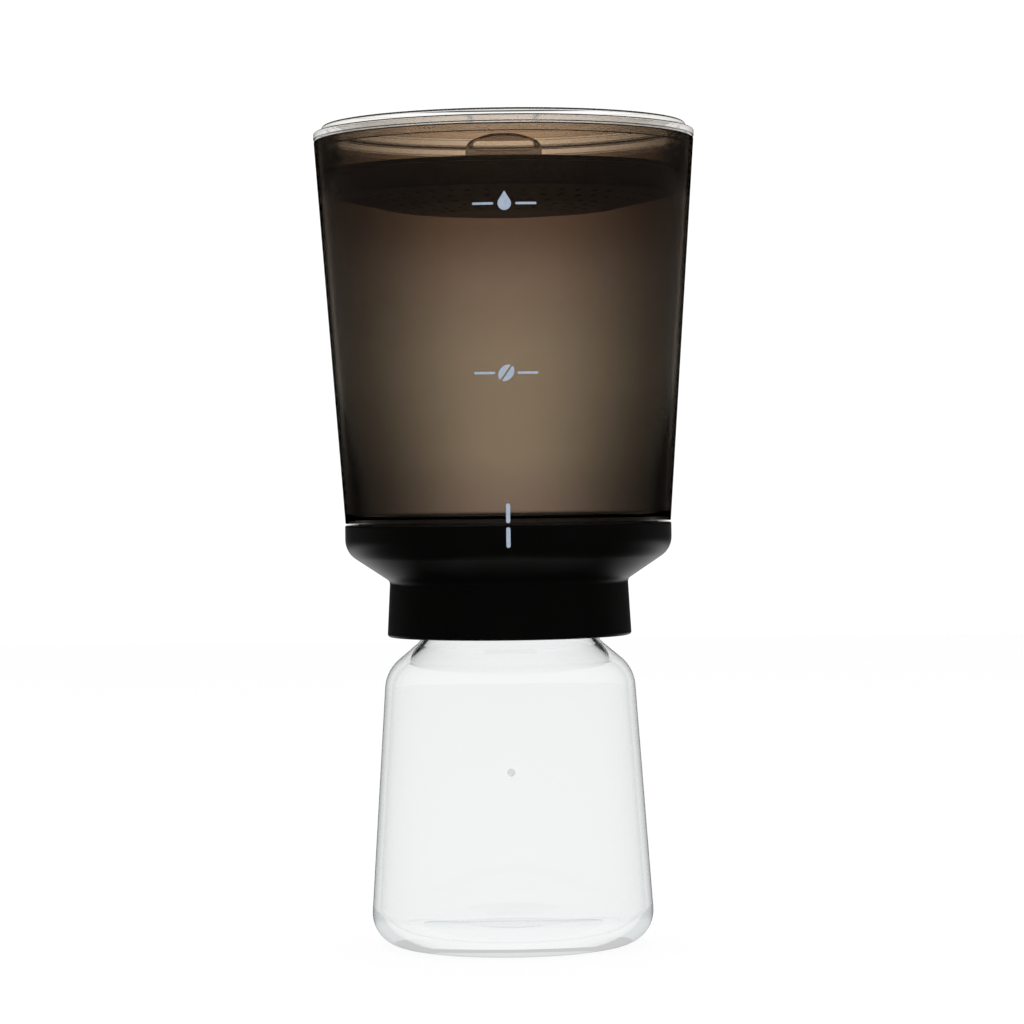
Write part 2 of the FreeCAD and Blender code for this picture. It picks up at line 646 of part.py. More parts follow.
def drop_face():
    """Water drop: round below, pointed above."""
    top = DROP_HEIGHT - DROP_RADIUS
    angle = math.acos(DROP_RADIUS / top)
    side = Vector(DROP_RADIUS * math.sin(angle), 0, DROP_Z + DROP_RADIUS * math.cos(angle))
    other = Vector(-side.x, 0, side.z)
    tip = Vector(0, 0, DROP_Z + top)
    bowl = Part.Arc(side, Vector(0, 0, DROP_Z - DROP_RADIUS), other).toShape()
    return Part.Face(Part.Wire([bowl, Part.LineSegment(other, tip).toShape(), Part.LineSegment(tip, side).toShape()]))


def dash_faces(z):
    return [bar_face(x, z - DASH_WIDTH / 2, DASH_LENGTH, DASH_WIDTH) for x in (DASH_START, -DASH_START - DASH_LENGTH)]


def container_print():
    low = CONTAINER_Z + CONTAINER_MARK_RISE
    mark = bar_face(-MARK_WIDTH / 2, low, MARK_WIDTH, CONTAINER_MARK_LENGTH)
    faces = [mark] + bean_faces() + dash_faces(BEAN_Z) + [drop_face()] + dash_faces(DROP_Z)
    return ink(container_side(), faces)


# Rainmaker

def rainmaker_dish():
    low_radius = DISH_RADIUS - DISH_TAPER
    outline = [(0, BOSS_Z, 0), (BOSS_RADIUS, BOSS_Z, SOFT_ROUND), (BELLY_RADIUS, BELLY_Z, BELLY_ROUND),
               (low_radius, DISH_FLOOR_Z, DISH_ROUND), (DISH_RADIUS, DISH_FLANGE_Z, 0),
               (dish_flange_radius(DISH_FLANGE_Z), DISH_FLANGE_Z, THIN_ROUND),
               (dish_flange_radius(DISH_TOP_Z), DISH_TOP_Z, RIM_ROUND), (DISH_RADIUS - DISH_WALL, DISH_TOP_Z, RIM_ROUND),
               (low_radius - DISH_WALL, DISH_FLOOR_Z + DISH_WALL, SOFT_ROUND),
               (BELLY_RADIUS, BELLY_Z + (DISH_WALL + BOSS_HEIGHT) / 2, BELLY_ROUND),
               (BOSS_RADIUS, BOSS_Z + BOSS_HEIGHT, SOFT_ROUND), (0, BOSS_Z + BOSS_HEIGHT, 0)]
    dish = turned(outline)
    holes = []
    for i in range(HOLE_RINGS):
        radius = HOLE_FIRST_RADIUS + i * HOLE_RING_STEP
        count = int(2 * math.pi * radius / HOLE_PITCH)
        hole = Part.makeCylinder(HOLE_RADIUS, DISH_TOP_Z - BOSS_Z, Vector(radius, 0, BOSS_Z - OVERCUT))
        holes += spun(hole, count, HOLE_TURN * i)
    return dish.cut(Part.makeCompound(holes))


def handle_plate(low):
    """Face of the handle, seen from the front: straight sides under a flat arch."""
    side = HANDLE_WIDTH / 2
    flat = HANDLE_FLAT / 2
    shoulder = HANDLE_TOP_Z - HANDLE_ARCH
    return Part.Face(closed_wire([(-side, low, 0), (side, low, 0), (side, shoulder, HANDLE_SIDE_ROUND),
                                  (flat, HANDLE_TOP_Z, HANDLE_ARCH_ROUND), (-flat, HANDLE_TOP_Z, HANDLE_ARCH_ROUND),
                                  (-side, shoulder, HANDLE_SIDE_ROUND)]))


def handle_window(low, high, corner):
    """Opening in the handle, as wide as its side bars allow."""
    side = HANDLE_WIDTH / 2 - HANDLE_SIDE_BAR
    return Part.Face(closed_wire([(-side, low, corner), (side, low, corner), (side, high, corner),
                                  (-side, high, corner)]))


def rainmaker_handle():
    low = BOSS_Z + BOSS_HEIGHT + TOUCH
    slot_top = HANDLE_TOP_Z - HANDLE_TOP_BAR
    web_top = slot_top - HANDLE_SLOT
    slot = handle_window(web_top, slot_top, HANDLE_SLOT_ROUND)
    gap = handle_window(low + HANDLE_WEB, web_top - HANDLE_WEB, HANDLE_GAP_ROUND)
    body = handle_plate(low).cut(slot).cut(gap).extrude(Vector(0, HANDLE_DEPTH, 0))
    body.translate(Vector(0, -HANDLE_DEPTH / 2, 0))
    shoulder = HANDLE_TOP_Z - HANDLE_ARCH - HANDLE_SIDE_ROUND
    arch = [e for e in body.Edges if e.BoundBox.ZMin > shoulder and e.BoundBox.YLength < TOUCH
            and e.CenterOfMass.z > slot_top]
    return body.makeFillet(HANDLE_EDGE_ROUND, arch)


# Lid

def lid():
    under = LID_TOP_Z - LID_WALL
    step = LID_Z + LID_FLANGE
    skirt_outer = CONTAINER_RIM_RADIUS - CONTAINER_WALL - LID_SKIRT_GAP
    skirt_inner = skirt_outer - LID_SKIRT_WALL
    skirt_low = LID_Z - LID_SKIRT_DEPTH
    flange = CONTAINER_RIM_RADIUS + LID_REACH
    outline = [(skirt_inner, skirt_low, EDGE_ROUND), (skirt_outer - LID_SKIRT_TAPER, skirt_low, EDGE_ROUND),
               (skirt_outer, LID_Z, 0), (flange, LID_Z, EDGE_ROUND), (flange, step, EDGE_ROUND),
               (LID_TOP_RADIUS, step, THIN_ROUND), (LID_TOP_RADIUS, LID_TOP_Z, LID_TOP_ROUND), (0, LID_TOP_Z, 0),
               (0, under, 0), (skirt_inner, under, SOFT_ROUND)]
    return turned(outline)


PIECES = [carafe, carafe_print, base_shell, base_mark, drain_funnel, bayonet_ring, carafe_seat, valve_actuator,
          valve_plug, valve_spring, filter_frame, filter_mesh, filter_clamp, filter_seal, container,
          container_seal, container_print, rainmaker_dish, rainmaker_handle, lid]


def main():
    os.makedirs("parts", exist_ok=True)
    for piece in PIECES:
        shape = piece()
        name = piece.__name__
        box = shape.optimalBoundingBox(False, False)
        print(f"{name}: {len(shape.Solids)} solids, volume {shape.Volume:.0f} mm3, valid {shape.isValid()}, "
              f"z {box.ZMin:.2f} to {box.ZMax:.2f}, width {box.XLength:.2f}")
        shape.exportStep(f"parts/{name}.step")
    print(f"least gap between the spring's turns: {spring_gap():.2f} mm")


main()
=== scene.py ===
"""Looks of a cold brew coffee maker: glass carafe, black collar, smoke-brown container, clear lid."""

import json
import logging
import math
from dataclasses import dataclass, field
from enum import Enum

import bpy
from mathutils import Matrix, Vector

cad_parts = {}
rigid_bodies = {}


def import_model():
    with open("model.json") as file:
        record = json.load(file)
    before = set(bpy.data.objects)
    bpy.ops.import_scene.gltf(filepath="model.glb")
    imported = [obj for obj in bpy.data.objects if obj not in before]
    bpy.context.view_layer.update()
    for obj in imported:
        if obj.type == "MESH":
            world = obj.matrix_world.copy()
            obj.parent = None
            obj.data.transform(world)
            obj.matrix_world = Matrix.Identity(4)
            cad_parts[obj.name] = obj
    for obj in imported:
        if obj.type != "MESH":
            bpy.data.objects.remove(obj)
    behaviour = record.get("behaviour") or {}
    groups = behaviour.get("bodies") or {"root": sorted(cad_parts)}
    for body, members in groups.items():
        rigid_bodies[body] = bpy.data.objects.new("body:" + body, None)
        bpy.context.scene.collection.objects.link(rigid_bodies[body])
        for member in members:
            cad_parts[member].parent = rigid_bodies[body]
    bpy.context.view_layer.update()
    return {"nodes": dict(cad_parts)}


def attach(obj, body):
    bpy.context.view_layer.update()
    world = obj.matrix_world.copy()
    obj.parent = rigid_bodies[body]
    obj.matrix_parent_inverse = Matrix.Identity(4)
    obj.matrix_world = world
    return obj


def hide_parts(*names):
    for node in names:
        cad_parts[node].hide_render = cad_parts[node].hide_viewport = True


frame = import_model()

logging.basicConfig(level=logging.INFO, format="%(message)s")
log = logging.getLogger("cold_brew")

MM = 0.001
STEPS = 192
ARC_STEP = math.radians(7.5)
SMOOTH_ANGLE = math.radians(32)
MERGE = MM * 1e-3
SPIN_MERGE = MM * 2e-3
ON_AXIS = 1e-6
LUG_STEPS = 6
FACING_BLEND = 0.5
TONE_START, TONE_END = 0.3, 0.7

Corner = tuple[float, float, float]


class Body(Enum):
    """Bodies of the frame that new pieces ride on."""

    CARAFE = "carafe"
    BASE = "base"
    CONTAINER = "container"
    LID = "lid"


def linear(hex_colour: str) -> tuple[float, float, float, float]:
    """Turns an sRGB hex colour to linear RGBA.

    Args:
        hex_colour: Six hex digits, red first.

    Returns:
        Linear red, green and blue, with alpha 1.
    """
    values = [int(hex_colour[i:i + 2], 16) / 255 for i in (0, 2, 4)]
    bent = [v / 12.92 if v <= 0.04045 else ((v + 0.055) / 1.055) ** 2.4 for v in values]
    return (bent[0], bent[1], bent[2], 1.0)


def add_node(tree: bpy.types.NodeTree, kind: str, links: dict | None = None,
             **settings: object) -> bpy.types.Node:
    """Adds a node with its settings and links.

    Args:
        tree: Node tree that gets the node.
        kind: Blender's node type.
        links: Output sockets by the name or number of the input that they feed.
        settings: Attributes of the node, or values of its inputs, by name.

    Returns:
        The new node.
    """
    node = tree.nodes.new(kind)
    for name, value in settings.items():
        if hasattr(node, name):
            setattr(node, name, value)
        else:
            node.inputs[name.replace("_", " ")].default_value = value
    for name, socket in (links or {}).items():
        tree.links.new(socket, node.inputs[name])
    return node


def new_material(name: str) -> tuple[bpy.types.Material, bpy.types.NodeTree, bpy.types.Node]:
    """Makes a material with one Principled shader.

    Args:
        name: The material's name.

    Returns:
        The material, its node tree and its shader.
    """
    material = bpy.data.materials.new(name)
    material.use_nodes = True
    tree = material.node_tree
    tree.nodes.clear()
    shader = add_node(tree, "ShaderNodeBsdfPrincipled")
    add_node(tree, "ShaderNodeOutputMaterial", {"Surface": shader.outputs["BSDF"]})
    return material, tree, shader


def fade(tree: bpy.types.NodeTree, value: bpy.types.NodeSocket, span: tuple[float, float],
         levels: tuple[float, float]) -> bpy.types.NodeSocket:
    """Adds a level that runs from the first to the second over a span of a value.

    Args:
        tree: Node tree that gets the node.
        value: Output that drives the level.
        span: Values at which the change starts and ends.
        levels: Level at the start and at the end.

    Returns:
        The level's output.
    """
    node = add_node(tree, "ShaderNodeMapRange", {"Value": value})
    for name, number in zip(("From Min", "From Max", "To Min", "To Max"), (*span, *levels)):
        node.inputs[name].default_value = number
    return node.outputs["Result"]


def combined(tree: bpy.types.NodeTree, operation: str, first: bpy.types.NodeSocket,
             second: bpy.types.NodeSocket) -> bpy.types.NodeSocket:
    """Adds a maths node that joins two outputs, and gives its output."""
    return add_node(tree, "ShaderNodeMath", {0: first, 1: second}, operation=operation).outputs["Value"]


def multiplied(tree: bpy.types.NodeTree, first: bpy.types.NodeSocket,
               second: bpy.types.NodeSocket) -> bpy.types.NodeSocket:
    """Adds a node that multiplies two colours, and gives its output."""
    mix = add_node(tree, "ShaderNodeMix", data_type="RGBA", blend_type="MULTIPLY")
    mix.inputs["Factor"].default_value = 1.0
    tree.links.new(first, mix.inputs["A"])
    tree.links.new(second, mix.inputs["B"])
    return mix.outputs["Result"]


def end_with_mix(tree: bpy.types.NodeTree, share: bpy.types.NodeSocket, first: bpy.types.NodeSocket,
                 second: bpy.types.NodeSocket) -> None:
    """Ends a material in a mix of two shaders, with the second's share given."""
    mix = add_node(tree, "ShaderNodeMixShader", {0: share, 1: first, 2: second})
    output = next(n for n in tree.nodes if n.type == "OUTPUT_MATERIAL")
    tree.links.new(mix.outputs["Shader"], output.inputs["Surface"])


def let_out(tree: bpy.types.NodeTree, shader: bpy.types.Node, depth: int, colour: str) -> None:
    """Lets light out of a clear piece in which a ray has bounced many times.

    Args:
        tree: Node tree of the clear material.
        shader: The material's Principled shader.
        depth: Bounces after which the ray ends in plain light.
        colour: Colour of that light, as an sRGB hex colour.
    """
    path = add_node(tree, "ShaderNodeLightPath")
    late = add_node(tree, "ShaderNodeMath", {0: path.outputs["Ray Depth"]}, operation="GREATER_THAN")
    late.inputs[1].default_value = depth - 0.5
    glow = add_node(tree, "ShaderNodeEmission")
    glow.inputs["Color"].default_value = linear(colour)
    end_with_mix(tree, late.outputs["Value"], shader.outputs["BSDF"], glow.outputs["Emission"])


def facing_of(tree: bpy.types.NodeTree) -> bpy.types.NodeSocket:
    """Adds the measure of how far the surface turns from the eye, 0 square on and 1 edge on."""
    return add_node(tree, "ShaderNodeLayerWeight", Blend=FACING_BLEND).outputs["Facing"]


def set_ramp(node: bpy.types.Node, stops: list[tuple[float, str]]) -> None:
    """Sets a colour ramp's stops.

    Args:
        node: The colour ramp.
        stops: Position and sRGB hex colour of each stop, in order.
    """
    ramp = node.color_ramp
    ramp.interpolation = "LINEAR"
    while len(ramp.elements) > 1:
        ramp.elements.remove(ramp.elements[-1])
    ramp.elements[0].position = stops[0][0]
    ramp.elements[0].color = linear(stops[0][1])
    for position, colour in stops[1:]:
        ramp.elements.new(position).color = linear(colour)


# Outlines of turned pieces: corners of (radius, height, corner round), in millimetres

def inset(corners: list[Corner], wall: float) -> list[Corner]:
    """Moves an open outline to its left by a wall, with its rounds kept concentric.

    Args:
        corners: The outline.
        wall: Distance to move it, in millimetres.

    Returns:
        The moved outline.
    """
    ways = [(Vector(q[:2]) - Vector(p[:2])).normalized() for p, q in zip(corners, corners[1:])]
    moved = [Vector((p[0] - u.y * wall, p[1] + u.x * wall)) for p, u in zip(corners, ways)]
    out = [(moved[0].x, moved[0].y, corners[0][2])]
    for i in range(1, len(corners) - 1):
        u, v = ways[i - 1], ways[i]
        turn = u.x * v.y - u.y * v.x
        gap = moved[i] - moved[i - 1]
        share = (gap.x * v.y - gap.y * v.x) / turn
        spot = moved[i - 1] + u * share
        out.append((spot.x, spot.y, max(corners[i][2] - math.copysign(wall, turn), 0)))
    end = Vector(corners[-1][:2]) + Vector((-ways[-1].y, ways[-1].x)) * wall
    out.append((end.x, end.y, corners[-1][2]))
    return out


def rounded(corners: list[Corner]) -> list[Vector]:
    """Follows a closed outline, with an arc of a few points at each rounded corner.

    Args:
        corners: The outline's corners.

    Returns:
        Points of (radius, height), in millimetres.
    """
    points = []
    for i, (r, z, corner) in enumerate(corners):
        here = Vector((r, z))
        if corner <= 0:
            points.append(here)
            continue
        before = (Vector(corners[i - 1][:2]) - here).normalized()
        after = (Vector(corners[(i + 1) % len(corners)][:2]) - here).normalized()
        half = before.angle(after) / 2
        start = here + before * (corner / math.tan(half))
        centre = here + (before + after).normalized() * (corner / math.sin(half))
        sweep = math.copysign(math.pi - 2 * half, before.x * after.y - before.y * after.x) * -1
        count = max(2, math.ceil(abs(sweep) / ARC_STEP))
        for k in range(count + 1):
            arm = start - centre
            arm.rotate(Matrix.Rotation(sweep * k / count, 2))
            points.append(centre + arm)
    return points


def on_height(p: Corner, q: Corner, z: float, corner: float = 0.0) -> Corner:
    """Finds the corner at height z on the line from p to q."""
    share = (z - p[1]) / (q[1] - p[1])
    return (p[0] + share * (q[0] - p[0]), z, corner)


def turned_piece(name: str, corners: list[Corner]) -> bpy.types.Object:
    """Models a turned piece: its outline is extruded point by point and spun about Z.

    Args:
        name: The piece's name.
        corners: The closed outline, in millimetres. One that starts and ends on the axis is left open there.

    Returns:
        The finished object, at the origin.
    """
    points = rounded(corners)
    bpy.ops.object.select_all(action="DESELECT")
    bpy.ops.mesh.primitive_plane_add(size=MM, location=(0, 0, 0))
    piece = bpy.context.object
    piece.name = name
    bpy.ops.object.mode_set(mode="EDIT")
    bpy.ops.mesh.select_all(action="SELECT")
    bpy.ops.mesh.merge(type="CENTER")
    places = [Vector((0, p.x * MM, p.y * MM)) for p in points]
    bpy.ops.transform.translate(value=places[0])
    on_axis = points[0].x < ON_AXIS and points[-1].x < ON_AXIS
    for here, there in zip(places, places[1:] if on_axis else places[1:] + places[:1]):
        bpy.ops.mesh.extrude_region_move(TRANSFORM_OT_translate={"value": there - here})
    bpy.ops.mesh.select_all(action="SELECT")
    bpy.ops.mesh.remove_doubles(threshold=MERGE)
    bpy.ops.mesh.spin(steps=STEPS, angle=2 * math.pi, center=(0, 0, 0), axis=(0, 0, 1))
    bpy.ops.mesh.select_all(action="SELECT")
    bpy.ops.mesh.remove_doubles(threshold=SPIN_MERGE)
    bpy.ops.mesh.normals_make_consistent(inside=False)
    bpy.ops.object.mode_set(mode="OBJECT")
    bpy.ops.object.shade_smooth_by_angle(angle=SMOOTH_ANGLE)
    even = piece.modifiers.new("even_normals", "WEIGHTED_NORMAL")
    even.keep_sharp = True
    bpy.ops.object.modifier_apply(modifier=even.name)
    return piece


def lug_ring(name: str, inner: float, outer: float, low: float, high: float, angle: float,
             count: int) -> bpy.types.Object:
    """Models lugs of a bayonet lock: one is spun from an upright face at the front, the rest are copies.

    Args:
        name: The piece's name.
        inner: Inner radius, in millimetres.
        outer: Outer radius, in millimetres.
        low: Height of the lower face, in millimetres.
        high: Height of the upper face, in millimetres.
        angle: Angle that one lug covers, in degrees.
        count: Number of lugs.

    Returns:
        The finished object, at the origin.
    """
    half = math.radians(angle) / 2
    middle = (inner + outer) / 2 * MM
    bpy.ops.object.select_all(action="DESELECT")
    bpy.ops.mesh.primitive_plane_add(size=1, location=(-middle * math.sin(half), -middle * math.cos(half),
                                                       (low + high) / 2 * MM),
                                     rotation=(math.pi / 2, 0, math.pi / 2 - half))
    piece = bpy.context.object
    piece.name = name
    piece.scale = ((outer - inner) * MM, (high - low) * MM, 1)
    bpy.ops.object.transform_apply(location=True, rotation=True, scale=True)
    bpy.ops.object.mode_set(mode="EDIT")
    bpy.ops.mesh.select_all(action="SELECT")
    bpy.ops.mesh.spin(steps=LUG_STEPS, angle=-2 * half, center=(0, 0, 0), axis=(0, 0, 1))
    for _ in range(count - 1):
        bpy.ops.mesh.select_linked()
        bpy.ops.mesh.duplicate()
        bpy.ops.transform.rotate(value=2 * math.pi / count, orient_axis="Z", center_override=(0, 0, 0))
    bpy.ops.mesh.select_all(action="SELECT")
    bpy.ops.mesh.normals_make_consistent(inside=False)
    bpy.ops.object.mode_set(mode="OBJECT")
    return piece


def joined(pieces: list[bpy.types.Object]) -> bpy.types.Object:
    """Joins pieces into the first of them."""
    bpy.ops.object.select_all(action="DESELECT")
    for piece in pieces:
        piece.select_set(True)
    bpy.context.view_layer.objects.active = pieces[0]
    bpy.ops.object.join()
    return pieces[0]


def dress(piece: bpy.types.Object, material: bpy.types.Material) -> None:
    """Gives a piece one material."""
    piece.data.materials.clear()
    piece.data.materials.append(material)


def dress_node(node: str, material: bpy.types.Material) -> None:
    """Puts a material in every slot of a CAD node."""
    for slot in frame["nodes"][node].material_slots:
        slot.material = material


def stand_for(piece: bpy.types.Object, node: str, body: Body) -> None:
    """Lets a piece ride on a body and stand for a CAD node, which is hidden.

    Args:
        piece: The new piece.
        node: The CAD node that it replaces, which is hidden.
        body: The body that it moves with.
    """
    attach(piece, body.value)
    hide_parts(node)


# Finishes

@dataclass(frozen=True)
class ClearGlass:
    """Borosilicate glass, blown: clear, grey-green where one looks along the wall, with painted shade that
    darkens those edges.
    """

    name: str = "borosilicate_glass"
    face: str = "FAFBFB"
    rim: str = "DDE4E4"
    edge: str = "5E6C6E"
    face_end: float = 0.72
    rim_at: float = 0.90
    trapped: str = "E2E6E6"
    depth: int = 5
    ior: float = 1.47
    roughness: float = 0.0

    def build(self) -> bpy.types.Material:
        """Builds the material."""
        material, tree, shader = new_material(self.name)
        # Painted shade: the colour turns from clear to dark grey-green as the surface turns edge on.
        ramp = add_node(tree, "ShaderNodeValToRGB", {"Fac": facing_of(tree)})
        set_ramp(ramp, [(0.0, self.face), (self.face_end, self.face), (self.rim_at, self.rim),
                        (1.0, self.edge)])
        tree.links.new(ramp.outputs["Color"], shader.inputs["Base Color"])
        shader.inputs["IOR"].default_value = self.ior
        shader.inputs["Roughness"].default_value = self.roughness
        shader.inputs["Transmission Weight"].default_value = 1.0
        let_out(tree, shader, self.depth, self.trapped)
        return material


@dataclass(frozen=True)
class SmokePlastic:
    """Copolyester, moulded and tinted smoke-brown.

    It darkens where one looks along the wall, more so at the foot and the rim.
    Just below the dish it carries a painted shadow of the dish, and above the dish painted light warms it.
    """

    name: str = "smoke_copolyester"
    ior: float = 1.45
    roughness: float = 0.0
    specular: float = 0.2
    low_z: float = 0.1516
    high_z: float = 0.289
    left_per_step: float = 0.876
    steps: int = 8
    edge_stops: tuple[tuple[float, str], ...] = ((0.76, "454545"), (0.82, "212121"), (1.0, "101010"))
    # upper and shaded are a painted shadow of the dish, starting and full; rim is painted light above the
    # dish.
    foot: str = "AA9C90"
    body: str = "B4A898"
    upper: str = "AA9B8D"
    shaded: str = "948172"
    rim: str = "BCA287"
    foot_span: tuple[float, float] = (0.10, 0.36)
    foot_side: float = 1.42
    rim_span: tuple[float, float] = (0.84, 0.93)
    rim_side: float = 1.55

    def by_angle(self) -> list[tuple[float, str]]:
        """Lists the greys that dim the tint as the wall turns from the eye: a fixed share is left per step."""
        greys = [f"{round(255 * self.left_per_step ** step):02X}" * 3 for step in range(self.steps)]
        return [(step / 10, grey) for step, grey in enumerate(greys)] + list(self.edge_stops)

    def by_height(self) -> list[tuple[float, str]]:
        """Lists the colours from foot to rim: one body tint, darkened behind the dish by a painted shadow of
        it and warmed above it by painted light.
        """
        return [(0.03, self.foot), (0.18, self.body), (0.44, self.body), (0.65, self.upper),
                (0.79, self.shaded), (0.85, self.shaded), (0.94, self.rim)]

    def build(self) -> bpy.types.Material:
        """Builds the material."""
        material, tree, shader = new_material(self.name)
        coords = add_node(tree, "ShaderNodeTexCoord")
        parts = add_node(tree, "ShaderNodeSeparateXYZ", {0: coords.outputs["Object"]})
        span = fade(tree, parts.outputs["Z"], (self.low_z, self.high_z), (0.0, 1.0))
        side = combined(tree, "MAXIMUM", fade(tree, span, self.foot_span, (self.foot_side, 1.0)),
                        fade(tree, span, self.rim_span, (1.0, self.rim_side)))
        turned = combined(tree, "MULTIPLY", facing_of(tree), side)
        facing = add_node(tree, "ShaderNodeValToRGB", {"Fac": turned})
        set_ramp(facing, self.by_angle())
        # Painted shadow of the dish and painted light above it, set by height.
        height = add_node(tree, "ShaderNodeValToRGB", {"Fac": span})
        set_ramp(height, self.by_height())
        tint = multiplied(tree, height.outputs["Color"], facing.outputs["Color"])
        tree.links.new(tint, shader.inputs["Base Color"])
        shader.inputs["Specular IOR Level"].default_value = self.specular
        shader.inputs["IOR"].default_value = self.ior
        shader.inputs["Roughness"].default_value = self.roughness
        shader.inputs["Transmission Weight"].default_value = 1.0
        return material


@dataclass(frozen=True)
class ClearPlastic:
    """Copolyester, moulded and polished: clear on its faces, with a dark line of painted shade along each
    rounded edge and painted shade where one looks along it.
    """

    name: str = "clear_copolyester"
    face: str = "FFFEFC"
    rim: str = "F4F2EE"
    edge: str = "2A2624"
    rim_start: float = 0.85
    edge_start: float = 0.95
    line: str = "0A0808"
    line_stops: tuple[float, float, float, float] = (0.15, 0.35, 0.92, 0.98)
    trapped: str = "FAF9F6"
    depth: int = 6
    ior: float = 1.45
    roughness: float = 0.0

    def build(self) -> bpy.types.Material:
        """Builds the material."""
        material, tree, shader = new_material(self.name)
        # Painted shade: the colour darkens as the surface turns edge on.
        ramp = add_node(tree, "ShaderNodeValToRGB", {"Fac": facing_of(tree)})
        set_ramp(ramp, [(0.0, self.face), (self.rim_start, self.rim), (self.edge_start, self.rim),
                        (1.0, self.edge)])
        # Painted shade: a dark line where the surface slopes, along each rounded edge.
        coords = add_node(tree, "ShaderNodeTexCoord")
        slope = add_node(tree, "ShaderNodeSeparateXYZ", {0: coords.outputs["Normal"]})
        steep = add_node(tree, "ShaderNodeMath", {0: slope.outputs["Z"]}, operation="ABSOLUTE")
        lines = add_node(tree, "ShaderNodeValToRGB", {"Fac": steep.outputs["Value"]})
        set_ramp(lines, list(zip(self.line_stops, ("FFFFFF", self.line, self.line, "FFFFFF"))))
        tint = multiplied(tree, ramp.outputs["Color"], lines.outputs["Color"])
        tree.links.new(tint, shader.inputs["Base Color"])
        shader.inputs["IOR"].default_value = self.ior
        shader.inputs["Roughness"].default_value = self.roughness
        shader.inputs["Transmission Weight"].default_value = 1.0
        let_out(tree, shader, self.depth, self.trapped)
        return material


@dataclass(frozen=True)
class MouldedPlastic:
    """Moulded polymer: a fine spark-eroded grain breaks up its gloss, and its tone shifts a little."""

    name: str
    colour: str
    tone: str
    roughness: float
    grain_mm: float = 0.35
    grain_depth: float = 0.06
    bump_mm: float = 0.05
    spread: float = 0.04
    cloud_mm: float = 25.0
    specular: float = 0.4
    sheen: float = 0.0
    sheen_roughness: float = 0.2

    def build(self) -> bpy.types.Material:
        """Builds the material."""
        material, tree, shader = new_material(self.name)
        coords = add_node(tree, "ShaderNodeTexCoord")
        grain = add_node(tree, "ShaderNodeTexNoise", {"Vector": coords.outputs["Object"]},
                         Scale=1 / (self.grain_mm * MM), Detail=2.0)
        cloud = add_node(tree, "ShaderNodeTexNoise", {"Vector": coords.outputs["Object"]},
                         Scale=1 / (self.cloud_mm * MM), Detail=3.0)
        ramp = add_node(tree, "ShaderNodeValToRGB", {"Fac": cloud.outputs["Fac"]})
        set_ramp(ramp, [(TONE_START, self.colour), (TONE_END, self.tone)])
        rough = fade(tree, grain.outputs["Fac"], (0.0, 1.0),
                     (self.roughness - self.spread, self.roughness + self.spread))
        bump = add_node(tree, "ShaderNodeBump", {"Height": grain.outputs["Fac"]}, Strength=self.grain_depth)
        bump.inputs["Distance"].default_value = self.bump_mm * MM
        tree.links.new(ramp.outputs["Color"], shader.inputs["Base Color"])
        tree.links.new(rough, shader.inputs["Roughness"])
        tree.links.new(bump.outputs["Normal"], shader.inputs["Normal"])
        shader.inputs["Specular IOR Level"].default_value = self.specular
        shader.inputs["Sheen Weight"].default_value = self.sheen
        shader.inputs["Sheen Roughness"].default_value = self.sheen_roughness
        return material


@dataclass(frozen=True)
class StainlessMesh:
    """Woven stainless wire cloth: fine crossing wires, too fine to show, drawn at a pitch of 0.8 mm."""

    name: str = "stainless_wire_cloth"
    pitch_mm: float = 0.8
    bump_mm: float = 0.1
    bump_strength: float = 0.6
    wire: str = "C8C6C2"
    gap: str = "2A2826"
    gap_end: float = 0.45
    wire_start: float = 0.75
    roughness: float = 0.35

    def build(self) -> bpy.types.Material:
        """Builds the material."""
        material, tree, shader = new_material(self.name)
        coords = add_node(tree, "ShaderNodeTexCoord")
        across, along = [add_node(tree, "ShaderNodeTexWave", {"Vector": coords.outputs["Object"]},
                                  bands_direction=direction, Scale=math.pi / 10 / (self.pitch_mm * MM))
                         for direction in ("X", "Y")]
        high = combined(tree, "MAXIMUM", across.outputs["Fac"], along.outputs["Fac"])
        ramp = add_node(tree, "ShaderNodeValToRGB", {"Fac": high})
        set_ramp(ramp, [(self.gap_end, self.gap), (self.wire_start, self.wire)])
        bump = add_node(tree, "ShaderNodeBump", {"Height": high}, Strength=self.bump_strength)
        bump.inputs["Distance"].default_value = self.bump_mm * MM
        tree.links.new(ramp.outputs["Color"], shader.inputs["Base Color"])
        tree.links.new(bump.outputs["Normal"], shader.inputs["Normal"])
        shader.inputs["Metallic"].default_value = 1.0
        shader.inputs["Roughness"].default_value = self.roughness
        return material


@dataclass(frozen=True)
class DrawnWire:
    """Drawn stainless wire: bright, with fine lines along it."""

    name: str = "drawn_stainless_wire"
    colour: str = "CFCDC9"
    shade: str = "B4B2AE"
    lines_per_metre: float = 1200.0
    roughness: float = 0.25

    def build(self) -> bpy.types.Material:
        """Builds the material."""
        material, tree, shader = new_material(self.name)
        coords = add_node(tree, "ShaderNodeTexCoord")
        noise = add_node(tree, "ShaderNodeTexNoise", {"Vector": coords.outputs["Object"]},
                         Scale=self.lines_per_metre)
        ramp = add_node(tree, "ShaderNodeValToRGB", {"Fac": noise.outputs["Fac"]})
        set_ramp(ramp, [(TONE_START, self.shade), (TONE_END, self.colour)])
        tree.links.new(ramp.outputs["Color"], shader.inputs["Base Color"])
        shader.inputs["Metallic"].default_value = 1.0
        shader.inputs["Roughness"].default_value = self.roughness
        return material


